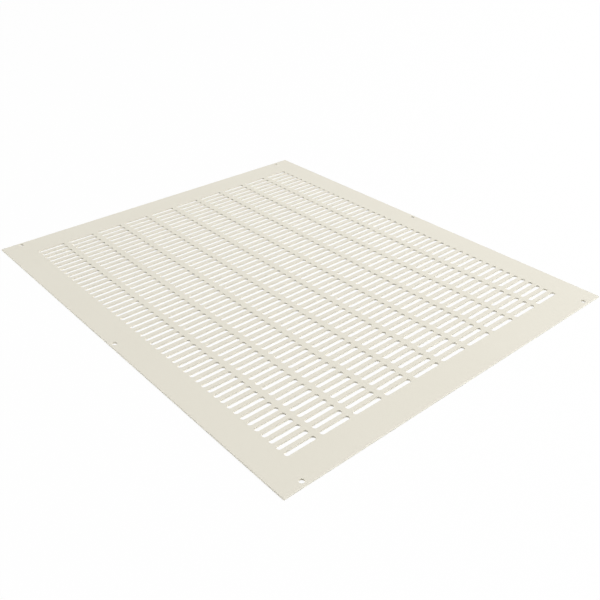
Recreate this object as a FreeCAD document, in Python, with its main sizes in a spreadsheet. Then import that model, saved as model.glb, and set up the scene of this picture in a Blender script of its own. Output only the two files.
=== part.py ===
"""Slotted ventilation panel: one flat punched sheet with a field of round-ended slots.

Frame: millimetres, +Z up. The sheet lies flat with its underside on Z = 0 and its middle
over the origin. X runs across the panel, along the slots, and Y runs along its longer side,
down the columns of slots. The panel is the same on both sides of X = 0 and of Y = 0.
"""
import FreeCAD, Part
import math
import os

import Sketcher
from FreeCAD import Vector

NODE = "slotted_panel"

# Driving dimensions in millimetres, each with the alias that the features are bound to.
DIMENSIONS = [
    ("panel_width", 500.0),
    ("panel_length", 593.0),
    ("sheet_thickness", 2.0),
    ("corner_radius", 1.0),
    # Rounding of the outer edges, which are dressed smooth before painting.
    ("edge_radius", 0.8),
    # Least flat band left round the sheet between the roundings of its two faces.
    ("edge_flat", 0.2),
    # Least plain border between the slots and the panel's outer edges.
    ("border_width", 34.0),
    ("slot_length", 37.4),
    ("slot_width", 5.9),
    # Metal left between the ends of two slots in a row, and between two rows of slots.
    ("column_bridge", 6.3),
    ("row_bridge", 5.0),
    # Coarse clearance hole for an M5 screw.
    ("fixing_hole_diameter", 5.8),
    # Hole centres, from the long edge and from the short edge at each corner.
    ("corner_hole_side_inset", 25.5),
    ("corner_hole_end_inset", 6.3),
    # Centres of the two holes half way along the long edges.
    ("middle_hole_side_inset", 5.7),
]

# Values worked out in the sheet: a thin sheet limits its edges' rounding, and the field holds as many
# whole slots as the borders leave room for.
DERIVED = [
    ("edge_rounding", "min(edge_radius; (sheet_thickness - edge_flat) / 2)"),
    ("column_pitch", "slot_length + column_bridge"),
    ("row_pitch", "slot_width + row_bridge"),
    ("columns", "floor((panel_width - 2 * border_width + column_bridge) / column_pitch)"),
    ("rows", "floor((panel_length - 2 * border_width + row_bridge) / row_pitch)"),
]

# One hole near each corner, and one half way along each long edge.
FIXING_HOLES = 6

VOLUME_TOLERANCE = 1e-6


def add_sizes(doc):
    """Spreadsheet with one aliased cell for each driving and each derived value."""
    sheet = doc.addObject("Spreadsheet::Sheet", "Sizes")
    cells = [(alias, str(value)) for alias, value in DIMENSIONS]
    cells += [(alias, "=" + formula) for alias, formula in DERIVED]
    for row, (alias, content) in enumerate(cells, start=1):
        sheet.set("A%d" % row, alias)
        sheet.set("B%d" % row, content)
        sheet.setAlias("B%d" % row, alias)
    doc.recompute()
    return sheet


def origin_feature(body, role):
    """The body's own origin plane or axis with this role."""
    return next(feature for feature in body.Origin.OriginFeatures if feature.Role == role)


def add_sketch(body, name):
    """Empty sketch on the body's XY plane, where the underside of the sheet lies."""
    sketch = body.newObject("Sketcher::SketchObject", name)
    sketch.AttachmentSupport = [(origin_feature(body, "XY_Plane"), "")]
    sketch.MapMode = "FlatFace"
    return sketch


def bind(sketch, constraint, formula):
    """Add a dimension to the sketch and drive it by a formula on the spreadsheet."""
    index = sketch.addConstraint(constraint)
    sketch.setExpression("Constraints[%d]" % index, formula)


def draw_outline(sketch, sheet):
    """Rectangle of the blank, centred on the sketch's origin."""
    half_width = sheet.panel_width / 2
    half_length = sheet.panel_length / 2
    corners = [
        Vector(-half_width, -half_length, 0),
        Vector(half_width, -half_length, 0),
        Vector(half_width, half_length, 0),
        Vector(-half_width, half_length, 0),
    ]
    for start, end in zip(corners, corners[1:] + corners[:1]):
        sketch.addGeometry(Part.LineSegment(start, end), False)
    for side in range(4):
        sketch.addConstraint(Sketcher.Constraint("Coincident", side, 2, (side + 1) % 4, 1))
        direction = "Horizontal" if side % 2 == 0 else "Vertical"
        sketch.addConstraint(Sketcher.Constraint(direction, side))
    sketch.addConstraint(Sketcher.Constraint("Symmetric", 0, 1, 2, 1, -1, 1))
    bind(sketch, Sketcher.Constraint("DistanceX", 0, 1, 0, 2, sheet.panel_width), "Sizes.panel_width")
    bind(sketch, Sketcher.Constraint("DistanceY", 1, 1, 1, 2, sheet.panel_length), "Sizes.panel_length")


def draw_slot(sketch, sheet):
    """Round-ended slot along X, centred on the sketch's origin."""
    radius = sheet.slot_width / 2
    reach = sheet.slot_length / 2 - radius
    normal = Vector(0, 0, 1)
    quarter = math.pi / 2
    right_end = Part.Circle(Vector(reach, 0, 0), normal, radius)
    left_end = Part.Circle(Vector(-reach, 0, 0), normal, radius)
    sketch.addGeometry(Part.LineSegment(Vector(-reach, -radius, 0), Vector(reach, -radius, 0)), False)
    sketch.addGeometry(Part.ArcOfCircle(right_end, -quarter, quarter), False)
    sketch.addGeometry(Part.LineSegment(Vector(reach, radius, 0), Vector(-reach, radius, 0)), False)
    sketch.addGeometry(Part.ArcOfCircle(left_end, quarter, 3 * quarter), False)
    for edge in range(4):
        sketch.addConstraint(Sketcher.Constraint("Tangent", edge, 2, (edge + 1) % 4, 1))
    sketch.addConstraint(Sketcher.Constraint("Horizontal", 0))
    sketch.addConstraint(Sketcher.Constraint("Symmetric", 1, 3, 3, 3, -1, 1))
    bind(sketch, Sketcher.Constraint("DistanceX", 3, 3, 1, 3, 2 * reach), "Sizes.slot_length - Sizes.slot_width")
    bind(sketch, Sketcher.Constraint("DistanceY", 0, 2, 2, 1, sheet.slot_width), "Sizes.slot_width")


def draw_hole(sketch, sheet, centre, x_formula, y_formula):
    """One fixing-hole circle in the corner of the panel where X and Y are positive."""
    radius = sheet.fixing_hole_diameter / 2
    circle = sketch.addGeometry(Part.Circle(centre, Vector(0, 0, 1), radius), False)
    bind(sketch, Sketcher.Constraint("Diameter", circle, 2 * radius), "Sizes.fixing_hole_diameter")
    bind(sketch, Sketcher.Constraint("DistanceX", -1, 1, circle, 3, centre.x), x_formula)
    if y_formula is None:
        sketch.addConstraint(Sketcher.Constraint("PointOnObject", circle, 3, -1))
    else:
        bind(sketch, Sketcher.Constraint("DistanceY", -1, 1, circle, 3, centre.y), y_formula)


def cut_through(body, name, sketch):
    """Pocket that punches the sketch through the whole sheet, from its underside upwards."""
    pocket = body.newObject("PartDesign::Pocket", name)
    pocket.Profile = sketch
    pocket.Type = "ThroughAll"
    pocket.Reversed = True
    return pocket


def edge_names(shape, wanted):
    """Names of the shape's edges for which wanted(edge) is true."""
    return ["Edge%d" % number for number, edge in enumerate(shape.Edges, start=1) if wanted(edge)]


def add_fillet(body, name, base, wanted, radius_formula):
    """Fillet on the chosen edges of the base feature."""
    fillet = body.newObject("PartDesign::Fillet", name)
    fillet.Base = (base, edge_names(base.Shape, wanted))
    fillet.setExpression("Radius", radius_formula)
    return fillet


def upright(edge):
    """True for an edge that runs from the lower face to the upper one."""
    return edge.BoundBox.ZLength > edge.BoundBox.XLength + edge.BoundBox.YLength


def add_row_pattern(body, name, axis_role, pitch, count):
    """Straight repeat along one of the body's axes, bound to a pitch and a count in the sheet."""
    pattern = body.newObject("PartDesign::LinearPattern", name)
    pattern.Direction = (origin_feature(body, axis_role), [""])
    pattern.Mode = "Spacing"
    pattern.setExpression("Offset", pitch)
    pattern.setExpression("Occurrences", count)
    return pattern


def add_mirror(body, name, plane_role):
    """Mirror image across one of the body's origin planes."""
    mirror = body.newObject("PartDesign::Mirrored", name)
    mirror.MirrorPlane = (origin_feature(body, plane_role), [""])
    return mirror


def repeat(body, name, feature, transformations):
    """Copies of one punched feature by patterns or mirrors applied one after the other."""
    field = body.newObject("PartDesign::MultiTransform", name)
    field.Originals = [feature]
    field.Transformations = transformations
    body.Tip = field
    return field


def build_blank(doc, body, sheet):
    """Flat rectangle with broken corners and its outer edges rounded on both faces."""
    outline = add_sketch(body, "BlankOutline")
    draw_outline(outline, sheet)
    blank = body.newObject("PartDesign::Pad", "Blank")
    blank.Profile = outline
    blank.setExpression("Length", "Sizes.sheet_thickness")
    doc.recompute()
    corners = add_fillet(body, "BlankCorners", blank, upright, "Sizes.corner_radius")
    doc.recompute()
    # The blank has no openings yet, so every edge that isn't upright bounds one of its two faces.
    add_fillet(body, "OuterEdges", corners, lambda edge: not upright(edge), "Sizes.edge_rounding")
    doc.recompute()


def punch_fixing_holes(doc, body, sheet):
    """One hole near each corner, and one half way along each long edge."""
    corner_sketch = add_sketch(body, "CornerHoleOutline")
    corner_x = sheet.panel_width / 2 - sheet.corner_hole_side_inset
    corner_y = sheet.panel_length / 2 - sheet.corner_hole_end_inset
    corner_x_formula = "Sizes.panel_width / 2 - Sizes.corner_hole_side_inset"
    corner_y_formula = "Sizes.panel_length / 2 - Sizes.corner_hole_end_inset"
    draw_hole(corner_sketch, sheet, Vector(corner_x, corner_y, 0), corner_x_formula, corner_y_formula)
    corner_hole = cut_through(body, "CornerHole", corner_sketch)
    across = add_mirror(body, "CornerHolesAcross", "YZ_Plane")
    along = add_mirror(body, "CornerHolesAlong", "XZ_Plane")
    repeat(body, "CornerHoles", corner_hole, [across, along])

    middle_sketch = add_sketch(body, "MiddleHoleOutline")
    middle_x = sheet.panel_width / 2 - sheet.middle_hole_side_inset
    middle_x_formula = "Sizes.panel_width / 2 - Sizes.middle_hole_side_inset"
    draw_hole(middle_sketch, sheet, Vector(middle_x, 0, 0), middle_x_formula, None)
    middle_hole = cut_through(body, "MiddleHole", middle_sketch)
    opposite = add_mirror(body, "MiddleHolesAcross", "YZ_Plane")
    repeat(body, "MiddleHoles", middle_hole, [opposite])
    doc.recompute()


def punch_slots(doc, body, sheet):
    """The slot field: one slot at the low end of both axes, repeated in columns and rows."""
    slot_sketch = add_sketch(body, "SlotOutline")
    draw_slot(slot_sketch, sheet)
    slot_sketch.setExpression("AttachmentOffset.Base.x", "-(Sizes.columns - 1) * Sizes.column_pitch / 2")
    slot_sketch.setExpression("AttachmentOffset.Base.y", "-(Sizes.rows - 1) * Sizes.row_pitch / 2")
    slot = cut_through(body, "Slot", slot_sketch)
    columns = add_row_pattern(body, "SlotColumns", "X_Axis", "Sizes.column_pitch", "Sizes.columns")
    rows = add_row_pattern(body, "SlotRows", "Y_Axis", "Sizes.row_pitch", "Sizes.rows")
    repeat(body, "SlotField", slot, [columns, rows])
    doc.recompute()


def check_document(doc):
    """Stop if any object of the document failed to build."""
    for item in doc.Objects:
        failed = {"Invalid", "Error"} & set(item.State)
        if failed:
            raise RuntimeError("%s: %s" % (item.Name, ", ".join(sorted(failed))))


def check_panel(doc, body, sheet):
    """Stop unless the panel is one sound solid with every hole and slot cut through it."""
    shape = body.Shape
    if shape.isNull() or not shape.isValid() or len(shape.Solids) != 1:
        raise RuntimeError("%s isn't one valid solid" % body.Label)
    hole_area = math.pi * sheet.fixing_hole_diameter**2 / 4
    end_area = math.pi * sheet.slot_width**2 / 4
    slot_area = (sheet.slot_length - sheet.slot_width) * sheet.slot_width + end_area
    punched_area = FIXING_HOLES * hole_area + sheet.columns * sheet.rows * slot_area
    blank_volume = doc.getObject("OuterEdges").Shape.Volume
    expected = blank_volume - punched_area * sheet.sheet_thickness
    if not math.isclose(shape.Volume, expected, rel_tol=VOLUME_TOLERANCE):
        raise RuntimeError("volume %.3f mm3, but %.3f was expected" % (shape.Volume, expected))


def main():
    doc = FreeCAD.newDocument("SlottedPanel")
    sheet = add_sizes(doc)
    body = doc.addObject("PartDesign::Body", "Panel")
    body.Label = NODE
    build_blank(doc, body, sheet)
    punch_fixing_holes(doc, body, sheet)
    punch_slots(doc, body, sheet)
    check_document(doc)
    check_panel(doc, body, sheet)
    os.makedirs("parts", exist_ok=True)
    body.Shape.exportStep(os.path.join("parts", body.Label + ".step"))
    print("%s: %d columns by %d rows of slots" % (body.Label, sheet.columns, sheet.rows))


main()
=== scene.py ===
"""Looks of the slotted ventilation panel: its powder coat, the white table it lies on, light and camera.

Lengths are in metres in the part's own frame: X across the panel along its slots, Y along its longer
side, Z up, with the underside on Z = 0.
"""

import math

import bpy
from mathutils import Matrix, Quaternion, Vector

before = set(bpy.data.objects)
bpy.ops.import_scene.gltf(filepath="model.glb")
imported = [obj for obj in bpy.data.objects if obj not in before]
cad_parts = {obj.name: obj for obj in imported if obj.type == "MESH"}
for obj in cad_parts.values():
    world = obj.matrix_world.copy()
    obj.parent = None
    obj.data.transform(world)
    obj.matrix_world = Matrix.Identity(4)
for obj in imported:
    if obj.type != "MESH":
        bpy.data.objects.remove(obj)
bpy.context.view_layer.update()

PANEL = "slotted_panel"
MM = 0.001

# Paint, as display colours from 0 to 1: where its film is thick, and where it is thin.
CREAM = (0.907, 0.892, 0.841)
CREAM_THIN = (0.884, 0.866, 0.810)
PAINT_ROUGHNESS = 0.58
# Full range of the roughness from one broad cloud in the film to the next.
ROUGHNESS_RANGE = 0.08

# Noise in the film, in features a metre: broad clouds, a fine speckle, and a powder coat's orange peel.
CLOUD_SCALE = 9.0
SPECKLE_SCALE = 1400.0
PEEL_SCALE = 520.0
# Shares of the clouds and of the speckle in the film's thickness.
CLOUD_SHARE = 0.7
SPECKLE_SHARE = 0.3
PEEL_DEPTH = 0.04 * MM
PEEL_STRENGTH = 0.5

# Sockets of a Mix node that hold its two colours and their mix.
MIX_FIRST_COLOUR = 6
MIX_SECOND_COLOUR = 7
MIX_COLOUR = 2

# Camera, in degrees, metres and millimetres of lens: at the left front, looking down on the panel.
CAMERA_AZIMUTH = -41.07
CAMERA_ELEVATION = 31.864
CAMERA_ROLL = 0.073
CAMERA_DISTANCE = 0.9022
CAMERA_AIM = Vector((-0.03065, -0.06515, 0.002))
SENSOR_WIDTH = 36.0
LENS = 45.0

WHITE = (1.0, 1.0, 1.0, 1.0)
# Even light from the surroundings, where 1 lights a surface so that it shows its own colour.
AMBIENT = 0.15
# Large softboxes: azimuth and elevation in degrees, power in watts.
KEY_SOFTBOX = (45.0, 40.0, 230.0)
SIDE_SOFTBOX = (112.0, 40.0, 31.0)
BACK_SOFTBOX = (180.0, 60.0, 31.0)
REAR_SOFTBOX = (240.0, 20.0, 108.0)
SOFTBOX_SIZE = 3.5
SOFTBOX_DISTANCE = 5.0

TABLE_SIZE = 12.0
TABLE_GAP = 0.05 * MM
TABLE_WHITE = 0.95
# Share of the table's brightness that takes the light and shadow falling on it.
TABLE_SHADE = 0.05


def display_to_linear(colour):
    """Linear RGBA of a display colour."""
    def channel(value):
        return value / 12.92 if value <= 0.04045 else ((value + 0.055) / 1.055) ** 2.4
    return tuple(channel(value) for value in colour) + (1.0,)


def direction(azimuth, elevation):
    """Unit vector towards a place on the sky: azimuth 0 is -Y and 90 is +X, in degrees."""
    turn, rise = math.radians(azimuth), math.radians(elevation)
    return Vector((math.sin(turn) * math.cos(rise), -math.cos(turn) * math.cos(rise), math.sin(rise)))


class Value:
    """A shader socket that Python arithmetic extends with Math nodes."""

    def __init__(self, shader, socket):
        self.shader = shader
        self.socket = socket

    def combine(self, operation, first, second):
        return self.shader.add("ShaderNodeMath", {"operation": operation}, {0: first, 1: second})

    def __add__(self, other):
        return self.combine("ADD", self, other)

    def __radd__(self, other):
        return self.combine("ADD", other, self)

    def __sub__(self, other):
        return self.combine("SUBTRACT", self, other)

    def __rsub__(self, other):
        return self.combine("SUBTRACT", other, self)

    def __mul__(self, other):
        return self.combine("MULTIPLY", self, other)

    def __rmul__(self, other):
        return self.combine("MULTIPLY", other, self)


class Shader:
    """Node tree of a material or of the world, built from empty."""

    def __init__(self, owner):
        owner.use_nodes = True
        self.tree = owner.node_tree
        self.tree.nodes.clear()

    def add(self, kind, settings=None, inputs=None, output=0):
        """A node of this kind, with its settings, then its values and links; returns one output."""
        node = self.tree.nodes.new(kind)
        for name, setting in (settings or {}).items():
            setattr(node, name, setting)
        for name, value in (inputs or {}).items():
            if isinstance(value, Value):
                self.tree.links.new(value.socket, node.inputs[name])
            else:
                node.inputs[name].default_value = value
        return Value(self, node.outputs[output])

    def noise(self, place, scale, detail):
        """Smooth noise from 0 to 1, with this many features a metre."""
        return self.add("ShaderNodeTexNoise", None, {"Vector": place, "Scale": scale, "Detail": detail})

    def finish(self, kind, surface):
        """Output node of this kind, fed by the surface."""
        node = self.tree.nodes.new(kind)
        self.tree.links.new(surface.socket, node.inputs["Surface"])


def powder_coat():
    """Satin cream powder coat: fine orange peel over a very gentle unevenness of the film."""
    material = bpy.data.materials.new("cream_powder_coat")
    shader = Shader(material)
    place = shader.add("ShaderNodeTexCoord", output="Object")
    cloud = shader.noise(place, CLOUD_SCALE, detail=3.0)
    speckle = shader.noise(place, SPECKLE_SCALE, detail=2.0)
    peel = shader.noise(place, PEEL_SCALE, detail=1.5)
    film = cloud * CLOUD_SHARE + speckle * SPECKLE_SHARE
    thin, thick = display_to_linear(CREAM_THIN), display_to_linear(CREAM)
    colour = shader.add(
        "ShaderNodeMix",
        {"data_type": "RGBA"},
        {"Factor": film, MIX_FIRST_COLOUR: thin, MIX_SECOND_COLOUR: thick},
        output=MIX_COLOUR,
    )
    roughness = PAINT_ROUGHNESS - ROUGHNESS_RANGE / 2 + cloud * ROUGHNESS_RANGE
    bump = shader.add(
        "ShaderNodeBump",
        None,
        {"Strength": PEEL_STRENGTH, "Distance": PEEL_DEPTH, "Height": peel},
    )
    surface = shader.add(
        "ShaderNodeBsdfPrincipled",
        None,
        {"Base Color": colour, "Roughness": roughness, "Normal": bump},
    )
    shader.finish("ShaderNodeOutputMaterial", surface)
    return material


def seen_directly(shader):
    """1 for a ray from the camera, or for one that a mirror or glass sends on, and 0 for the rest."""
    path = shader.tree.nodes.new("ShaderNodeLightPath")
    names = ("Is Camera Ray", "Is Glossy Ray", "Is Transmission Ray")
    camera, glossy, transmission = (Value(shader, path.outputs[name]) for name in names)
    return 1 - (1 - camera) * (1 - glossy) * (1 - transmission)


def table_white():
    """White table top that keeps a soft trace of the shadow on it."""
    material = bpy.data.materials.new("white_table")
    shader = Shader(material)
    white = (TABLE_WHITE, TABLE_WHITE, TABLE_WHITE, 1.0)
    matt = shader.add("ShaderNodeBsdfDiffuse", None, {"Color": white})
    bright = shader.add("ShaderNodeEmission", None, {"Color": WHITE, "Strength": 1.0})
    share = seen_directly(shader) * (1 - TABLE_SHADE)
    surface = shader.add("ShaderNodeMixShader", None, {0: share, 1: matt, 2: bright})
    shader.finish("ShaderNodeOutputMaterial", surface)
    return material


def paint_panel():
    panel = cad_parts[PANEL]
    panel.data.materials.clear()
    panel.data.materials.append(powder_coat())


def add_table():
    bpy.ops.object.select_all(action="DESELECT")
    bpy.ops.mesh.primitive_plane_add(size=TABLE_SIZE, location=(0.0, 0.0, -TABLE_GAP))
    table = bpy.context.object
    table.name = "table_top"
    table.data.materials.append(table_white())


def light_world():
    """Even white surroundings, brighter to the eye than the light they give."""
    world = bpy.data.worlds.new("white_room")
    bpy.context.scene.world = world
    shader = Shader(world)
    strength = AMBIENT + seen_directly(shader) * (1 - AMBIENT)
    surface = shader.add("ShaderNodeBackground", None, {"Color": WHITE, "Strength": strength})
    shader.finish("ShaderNodeOutputWorld", surface)


def add_softbox(name, azimuth, elevation, power):
    """Large soft lamp that faces the panel from this place on the sky."""
    lamp = bpy.data.lights.new(name, "AREA")
    lamp.shape = "SQUARE"
    lamp.size = SOFTBOX_SIZE
    lamp.energy = power
    towards = direction(azimuth, elevation)
    softbox = bpy.data.objects.new(name, lamp)
    bpy.context.collection.objects.link(softbox)
    softbox.location = towards * SOFTBOX_DISTANCE
    softbox.rotation_euler = towards.to_track_quat("Z", "Y").to_euler()


def add_camera():
    camera = bpy.data.objects.new("camera", bpy.data.cameras.new("camera"))
    bpy.context.collection.objects.link(camera)
    camera.data.sensor_width = SENSOR_WIDTH
    camera.data.lens = LENS
    back = direction(CAMERA_AZIMUTH, CAMERA_ELEVATION)
    camera.location = CAMERA_AIM + back * CAMERA_DISTANCE
    roll = Quaternion((0.0, 0.0, 1.0), math.radians(CAMERA_ROLL))
    camera.rotation_euler = (back.to_track_quat("Z", "Y") @ roll).to_euler()
    bpy.context.scene.camera = camera


bpy.context.scene.view_settings.view_transform = "Standard"
paint_panel()
add_table()
light_world()
add_softbox("key_softbox", *KEY_SOFTBOX)
add_softbox("side_softbox", *SIDE_SOFTBOX)
add_softbox("back_softbox", *BACK_SOFTBOX)
add_softbox("rear_softbox", *REAR_SOFTBOX)
add_camera()
